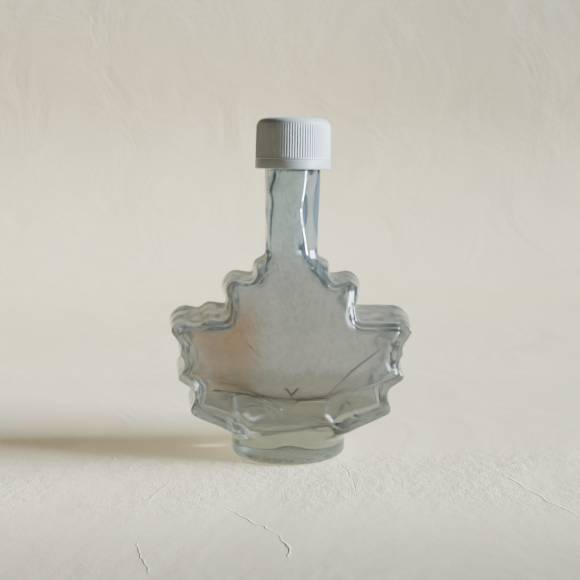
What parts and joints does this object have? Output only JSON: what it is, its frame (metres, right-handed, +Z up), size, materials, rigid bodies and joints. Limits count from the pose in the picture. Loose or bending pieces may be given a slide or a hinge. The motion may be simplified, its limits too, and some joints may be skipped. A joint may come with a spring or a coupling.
{
  "type": "maple leaf bottle",
  "caption": "Small clear glass flask shaped like a maple leaf, with an oval foot, a round neck and a ribbed white screw cap.",
  "frame": {"origin": "on the surface it stands on, under the middle of the foot", "axes": "+Z up along the neck, -Y the front face of the leaf, +X to the right seen from the front"},
  "size_m": [0.0796, 0.033, 0.1105],
  "materials": {
    "glass": "clear moulded flint glass",
    "cap_plastic": "satin white polypropylene with fine upright ribs"
  },
  "bodies": {
    "root": {"bottle": "glass", "cap": "cap_plastic"}
  },
  "joints": []
}
